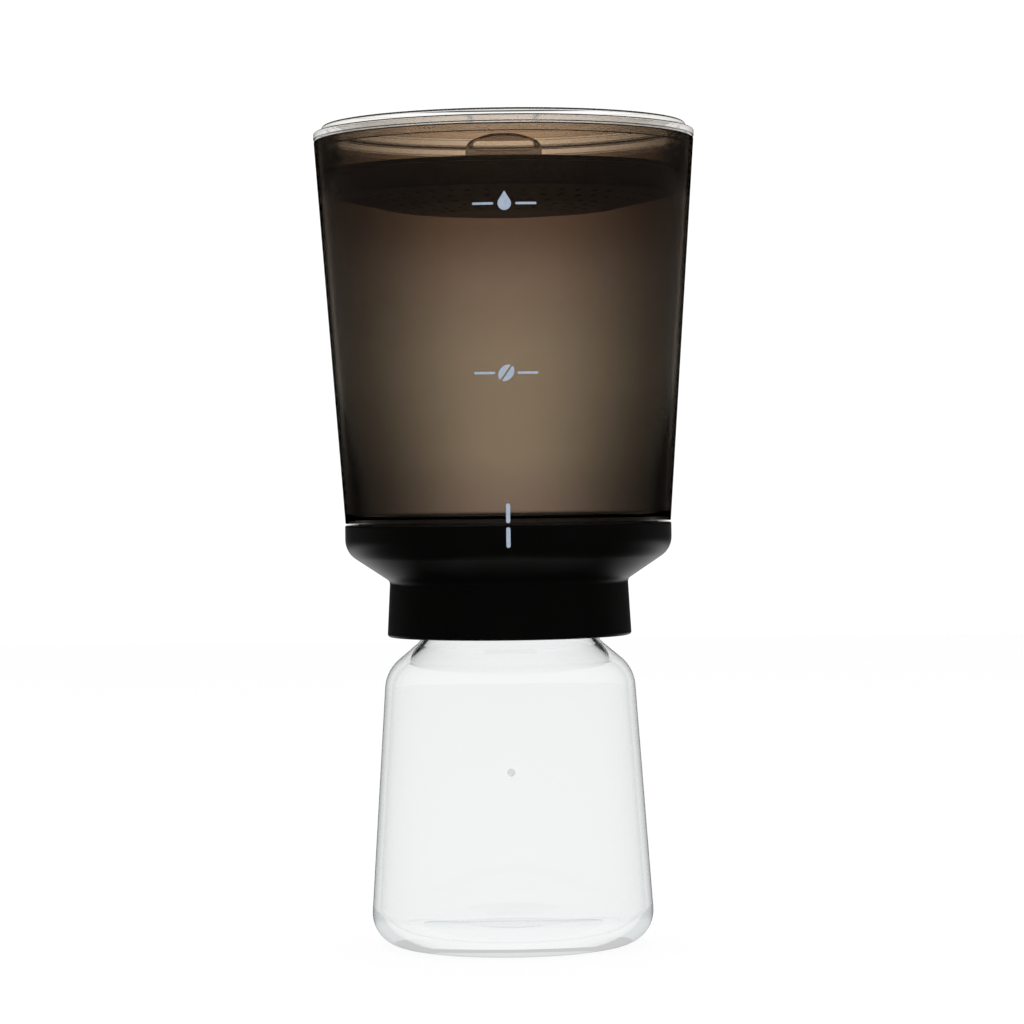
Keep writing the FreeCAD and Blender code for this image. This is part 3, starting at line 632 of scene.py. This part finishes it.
@dataclass(frozen=True)
class PrintedInk:
    """Screen-printed ink: a flat pale film whose tone varies a little, and which may let light through."""

    name: str
    colour: str
    thin: str
    cover: float = 1.0
    roughness: float = 0.55
    mottles_per_metre: float = 900.0
    thin_end: float = 0.35
    full_start: float = 0.6

    def build(self) -> bpy.types.Material:
        """Builds the material."""
        material, tree, shader = new_material(self.name)
        coords = add_node(tree, "ShaderNodeTexCoord")
        noise = add_node(tree, "ShaderNodeTexNoise", {"Vector": coords.outputs["Object"]},
                         Scale=self.mottles_per_metre)
        ramp = add_node(tree, "ShaderNodeValToRGB", {"Fac": noise.outputs["Fac"]})
        set_ramp(ramp, [(self.thin_end, self.thin), (self.full_start, self.colour)])
        tree.links.new(ramp.outputs["Color"], shader.inputs["Base Color"])
        shader.inputs["Roughness"].default_value = self.roughness
        shader.inputs["Alpha"].default_value = self.cover
        return material


# Sub-assemblies

@dataclass
class Carafe:
    """Blown glass carafe with its printed level dot. Sizes in millimetres."""

    side: list[Corner] = field(default_factory=lambda: [
        (51.3, 0.0, 11.7), (44.6, 98.6, 14.0), (31.5, 109.6, 5.0), (31.5, 125.0, 0.0)])
    wall: float = 2.5
    floor: float = 4.2
    push_up: float = 1.5
    push_up_reach: float = 16.0
    push_up_round: float = 30.0
    floor_round: float = 60.0
    foot_round: float = 0.6
    foot_ring: float = 33.0
    lip: float = 33.2
    lip_height: float = 3.2
    lip_round: float = 0.6
    bead_round: float = 0.8

    def outline(self) -> list[Corner]:
        """Works out the closed outline of the glass, from the middle of the foot up and back down inside."""
        inner = inset(self.side, self.wall)
        neck, mouth = self.side[3][:2]
        bead = mouth - self.lip_height
        flat = self.foot_ring - self.push_up_reach
        raised = self.floor + self.push_up / 2
        corners = [(0, self.push_up, 0), (flat, self.push_up, self.push_up_round),
                   (self.foot_ring, 0, self.foot_round)]
        corners += self.side[:3]
        corners += [(neck, bead, self.bead_round), (self.lip, bead + self.lip - neck, self.bead_round),
                    (self.lip, mouth, self.lip_round), (inner[3][0], mouth, self.lip_round),
                    inner[2], inner[1]]
        corners.append(on_height(inner[0], inner[1], self.floor, self.side[0][2] - self.wall))
        corners += [(self.foot_ring, self.floor, self.floor_round), (flat, raised, self.floor_round),
                    (0, raised, 0)]
        return corners

    def build(self) -> None:
        """Models the glass and dresses it and its print."""
        glass = turned_piece("carafe_glass", self.outline())
        dress(glass, ClearGlass().build())
        stand_for(glass, "carafe", Body.CARAFE)
        enamel = PrintedInk("grey_enamel_print", "F2F4F5", "E6E9EA", cover=0.3)
        dress_node("carafe_print", enamel.build())


@dataclass
class Collar:
    """Black collar that carries the filter, the drain and its valve. Sizes in millimetres."""

    side: list[Corner] = field(default_factory=lambda: [
        (43.9, 110.8, 0.0), (42.8, 130.8, 2.0), (58.7, 141.4, 8.3), (58.7, 151.0, 0.0)])
    wall: float = 2.4
    foot_round: float = 1.0
    rim_round: float = 0.6

    def outline(self) -> list[Corner]:
        """Works out the closed outline of the collar's shell."""
        inner = inset(self.side, self.wall)
        foot, top = self.side[0], self.side[3]
        corners = [(foot[0], foot[1], self.foot_round), self.side[1], self.side[2],
                   (top[0], top[1], self.rim_round)]
        corners += [(top[0] - self.wall, top[1], self.rim_round), inner[2], inner[1]]
        corners.append(on_height(inner[0], inner[1], foot[1], self.foot_round))
        return corners

    def build(self) -> None:
        """Models the shell and dresses what it holds."""
        shell = turned_piece("collar_shell", self.outline())
        satin = MouldedPlastic("satin_black_abs", "0B0908", "0E0C0B", roughness=0.40, specular=0.12,
                               sheen=0.12)
        dress(shell, satin.build())
        stand_for(shell, "base_shell", Body.BASE)
        dress_node("base_mark", PrintedInk("pale_blue_print", "C8D8EC", "BCCDE2").build())
        gloss = MouldedPlastic("black_polypropylene", "0E0D0C", "131211", roughness=0.28,
                               grain_depth=0.02).build()
        for node in ("drain_funnel", "bayonet_ring", "valve_actuator", "filter_frame", "filter_clamp"):
            dress_node(node, gloss)
        silicone = MouldedPlastic("grey_silicone", "5B5B5C", "626263", roughness=0.6, specular=0.3).build()
        dress_node("carafe_seat", silicone)
        dress_node("valve_plug", silicone)
        dress_node("filter_seal", MouldedPlastic("black_silicone", "121110", "171615", roughness=0.6).build())
        dress_node("valve_spring", DrawnWire().build())
        dress_node("filter_mesh", StainlessMesh().build())


@dataclass
class BrewContainer:
    """Tapered container with its spigot, lugs and prints. Sizes in millimetres."""

    foot: float = 58.5
    foot_z: float = 151.6
    rim: float = 68.3
    rim_z: float = 289.0
    wall: float = 2.4
    ledge: float = 2.4
    spigot: float = 53.8
    spigot_wall: float = 2.2
    spigot_z: float = 147.0
    lugs: int = 3
    lug_gap: float = 0.02
    lug_reach: float = 1.1
    lug_height: float = 1.6
    lug_z: float = 148.0
    lug_angle: float = 12.0
    spigot_round: float = 0.4
    foot_round: float = 0.5
    rim_round: float = 0.7
    floor_round: float = 1.5
    bore_round: float = 0.8

    def radius(self, z: float) -> float:
        """Gives the outer radius at height z."""
        return self.foot + (z - self.foot_z) / (self.rim_z - self.foot_z) * (self.rim - self.foot)

    def outline(self) -> list[Corner]:
        """Works out the closed outline of the container's wall."""
        bore = self.spigot - self.spigot_wall
        top = self.foot_z + self.ledge
        return [(bore, self.spigot_z, self.spigot_round), (self.spigot, self.spigot_z, self.spigot_round),
                (self.spigot, self.foot_z, 0), (self.foot, self.foot_z, self.foot_round),
                (self.rim, self.rim_z, self.rim_round), (self.rim - self.wall, self.rim_z, self.rim_round),
                (self.radius(top) - self.wall, top, self.floor_round), (bore, top, self.bore_round)]

    def build(self) -> None:
        """Models the container and dresses it, its seal and its prints."""
        wall = turned_piece("brewing_container", self.outline())
        lugs = lug_ring("bayonet_lugs", self.spigot + self.lug_gap, self.spigot + self.lug_reach, self.lug_z,
                        self.lug_z + self.lug_height, self.lug_angle, self.lugs)
        wall = joined([wall, lugs])
        dress(wall, SmokePlastic().build())
        stand_for(wall, "container", Body.CONTAINER)
        dress_node("container_seal", MouldedPlastic("black_silicone_ring", "121110", "171615", 0.6).build())
        dress_node("container_print", PrintedInk("pale_blue_container_print", "C8D8EC", "BCCDE2").build())


@dataclass
class Rainmaker:
    """Perforated dish with its loop handle, whose CAD meshes stay."""

    def build(self) -> None:
        """Dresses the dish and its handle."""
        dish = MouldedPlastic("black_dish_polypropylene", "070505", "090707", roughness=0.45,
                              grain_depth=0.03, specular=0.05)
        dress_node("rainmaker_dish", dish.build())
        # The handle's smoke grey is its own; its dark rim and edge colours are painted shade along its
        # outline.
        handle = ClearPlastic("smoke_handle_copolyester", face="8A8480", rim="3E3A38", edge="12100F",
                              rim_start=0.35, edge_start=0.6, trapped="4E4A48")
        dress_node("rainmaker_handle", handle.build())


@dataclass
class Lid:
    """Clear stepped lid. Sizes in millimetres."""

    flange: float = 68.4
    low_z: float = 289.3
    flange_height: float = 2.5
    rise: float = 2.5
    top: float = 65.5
    wall: float = 2.0
    skirt: float = 65.5
    skirt_wall: float = 1.8
    skirt_depth: float = 3.0
    skirt_taper: float = 0.4
    under_round: float = 0.8
    edge_round: float = 0.5
    step_round: float = 0.4
    top_round: float = 1.0

    def outline(self) -> list[Corner]:
        """Works out the lid's closed outline."""
        step = self.low_z + self.flange_height
        high = step + self.rise
        under = high - self.wall
        low = self.low_z - self.skirt_depth
        inner = self.skirt - self.skirt_wall
        return [(0, under, 0), (inner, under, self.under_round), (inner, low, self.edge_round),
                (self.skirt - self.skirt_taper, low, self.edge_round), (self.skirt, self.low_z, 0),
                (self.flange, self.low_z, self.edge_round), (self.flange, step, self.edge_round),
                (self.top, step, self.step_round), (self.top, high, self.top_round), (0, high, 0)]

    def build(self) -> None:
        """Models and dresses the lid."""
        lid = turned_piece("clear_lid", self.outline())
        dress(lid, ClearPlastic().build())
        stand_for(lid, "lid", Body.LID)


# Studio

@dataclass(frozen=True)
class SoftBox:
    """Square lamp that faces the object, unseen in gloss and through glass. Metres and watts."""

    name: str
    place: tuple[float, float, float]
    size: float
    power: float
    aim: tuple[float, float, float] = (0.0, 0.0, 0.2)

    def build(self) -> None:
        """Hangs the lamp."""
        data = bpy.data.lights.new(self.name, "AREA")
        data.shape = "RECTANGLE"
        data.size = self.size
        data.size_y = self.size
        data.energy = self.power
        lamp = bpy.data.objects.new(self.name, data)
        bpy.context.scene.collection.objects.link(lamp)
        lamp.location = self.place
        lamp.visible_glossy = False
        lamp.visible_transmission = False
        lamp.rotation_euler = (Vector(self.aim) - lamp.location).to_track_quat("-Z", "Y").to_euler()


@dataclass
class Studio:
    """Camera, white surroundings and soft light. Lengths in metres, image sizes in pixels.

    The black parts mirror a dark room, apart from the floor close by or behind, which the eye doesn't meet
    at a grazing angle: near and behind say where it is bright, and grazing where that ends.
    """

    image: float = 1024.0
    sensor: float = 36.0
    distance: float = 1.2917
    eye_height: float = 0.168
    pixel: float = 0.00036
    principal: tuple[float, float] = (507.65, 476.35)
    roll: float = 0.72
    surround: float = 0.6
    gloss: float = 0.02
    glow: float = 1.05
    near: tuple[float, float] = (0.03, 0.10)
    near_level: float = 0.6
    behind: tuple[float, float] = (0.10, 0.35)
    behind_level: float = 1.6
    grazing: tuple[float, float] = (0.80, 0.87)
    clip_start: float = 0.05
    paper_colour: str = "F4F4F4"
    paper_roughness: float = 0.9
    shadow_share: float = 0.12
    floor_size: float = 12.0
    backdrop_size: float = 2.6
    backdrop_place: tuple[float, float, float] = (0.0, 2.4, 1.2)
    lamps: tuple[SoftBox, ...] = (SoftBox("top_box", (0.0, 0.2, 1.5), 1.0, 7.0),
                                  SoftBox("front_box", (0.6, -1.4, 1.0), 0.6, 1.0))

    def camera(self) -> None:
        """Sets the camera: level, turned a little about its own axis, framed by its shift."""
        data = bpy.data.cameras.new("camera")
        data.sensor_width = self.sensor
        data.lens = self.distance / (self.pixel * self.image) * self.sensor
        data.shift_x = (self.image / 2 - self.principal[0]) / self.image
        data.shift_y = (self.principal[1] - self.image / 2) / self.image
        data.clip_start = self.clip_start
        camera = bpy.data.objects.new("camera", data)
        bpy.context.scene.collection.objects.link(camera)
        roll = Matrix.Rotation(math.radians(-self.roll), 4, "Z")
        level = Matrix.Rotation(math.radians(90), 4, "X") @ roll
        camera.matrix_world = Matrix.Translation((0, -self.distance, self.eye_height)) @ level
        bpy.context.scene.camera = camera

    def white_rays(self, tree: bpy.types.NodeTree) -> bpy.types.NodeSocket:
        """Adds a mask of the rays that see plain white: camera rays and rays through glass.

        Args:
            tree: Node tree of a material or of the world.

        Returns:
            The mask's output, 0 or 1.
        """
        path = add_node(tree, "ShaderNodeLightPath")
        return combined(tree, "MAXIMUM", path.outputs["Is Camera Ray"], path.outputs["Is Transmission Ray"])

    def world(self) -> None:
        """Sets the world: white to the eye and through glass, dimmer as light and in gloss."""
        world = bpy.data.worlds.new("studio")
        bpy.context.scene.world = world
        world.use_nodes = True
        tree = world.node_tree
        tree.nodes.clear()
        path = add_node(tree, "ShaderNodeLightPath")
        soft = add_node(tree, "ShaderNodeMix", {"Factor": path.outputs["Is Glossy Ray"]}, data_type="FLOAT")
        soft.inputs["A"].default_value = self.surround
        soft.inputs["B"].default_value = self.gloss
        level = add_node(tree, "ShaderNodeMix", {"Factor": self.white_rays(tree),
                                                 "A": soft.outputs["Result"]}, data_type="FLOAT")
        level.inputs["B"].default_value = 1.0
        back = add_node(tree, "ShaderNodeBackground", {"Strength": level.outputs["Result"]})
        back.inputs["Color"].default_value = linear("FFFFFF")
        add_node(tree, "ShaderNodeOutputWorld", {"Surface": back.outputs["Background"]})

    def surface(self, name: str, paper: float, behind_level: float) -> bpy.types.Material:
        """Makes white paper that glows white, and is dark in gloss except close to or behind the object.

        Args:
            name: The material's name.
            paper: Share of real shading, which shows the object's shadow.
            behind_level: Brightness in gloss behind the object.

        Returns:
            The material.
        """
        material, tree, shader = new_material(name)
        shader.inputs["Base Color"].default_value = linear(self.paper_colour)
        shader.inputs["Roughness"].default_value = self.paper_roughness
        shader.inputs["Specular IOR Level"].default_value = 0.0
        path = add_node(tree, "ShaderNodeLightPath")
        spot = add_node(tree, "ShaderNodeNewGeometry")
        place = add_node(tree, "ShaderNodeSeparateXYZ", {0: spot.outputs["Position"]})
        near = fade(tree, path.outputs["Ray Length"], self.near, (self.near_level, 0.0))
        behind = fade(tree, place.outputs["Y"], self.behind, (0.0, behind_level))
        steep = fade(tree, facing_of(tree), self.grazing, (1.0, 0.0))
        mirror = combined(tree, "MULTIPLY", steep, combined(tree, "MAXIMUM", near, behind))
        level = add_node(tree, "ShaderNodeMix", {"Factor": self.white_rays(tree), "A": mirror},
                         data_type="FLOAT")
        level.inputs["B"].default_value = self.glow
        glow = add_node(tree, "ShaderNodeEmission", {"Strength": level.outputs["Result"]})
        seen = add_node(tree, "ShaderNodeMath", {0: self.white_rays(tree)}, operation="MULTIPLY")
        seen.inputs[1].default_value = 1 - paper
        mirrored = combined(tree, "SUBTRACT", path.outputs["Is Glossy Ray"],
                            path.outputs["Is Transmission Ray"])
        share = combined(tree, "MAXIMUM", seen.outputs["Value"], mirrored)
        end_with_mix(tree, share, shader.outputs["BSDF"], glow.outputs["Emission"])
        return material

    def paper(self) -> None:
        """Lays the floor and hangs the backdrop."""
        bpy.ops.object.select_all(action="DESELECT")
        bpy.ops.mesh.primitive_plane_add(size=self.floor_size, location=(0, 0, 0))
        floor = bpy.context.object
        floor.name = "floor"
        dress(floor, self.surface("white_floor_paper", self.shadow_share, self.behind_level))
        bpy.ops.mesh.primitive_plane_add(size=self.backdrop_size, location=self.backdrop_place,
                                         rotation=(math.radians(90), 0, 0))
        backdrop = bpy.context.object
        backdrop.name = "backdrop"
        dress(backdrop, self.surface("white_backdrop_paper", 0.0, 0.0))

    def build(self) -> None:
        """Sets the whole studio."""
        self.camera()
        self.world()
        self.paper()
        for lamp in self.lamps:
            lamp.build()
        bpy.context.scene.view_settings.view_transform = "Standard"


def main() -> None:
    """Builds the pieces in order, then the studio."""
    for assembly in (Carafe(), Collar(), BrewContainer(), Rainmaker(), Lid(), Studio()):
        assembly.build()
        log.info("built %s", type(assembly).__name__)


if __name__ == "__main__":
    main()
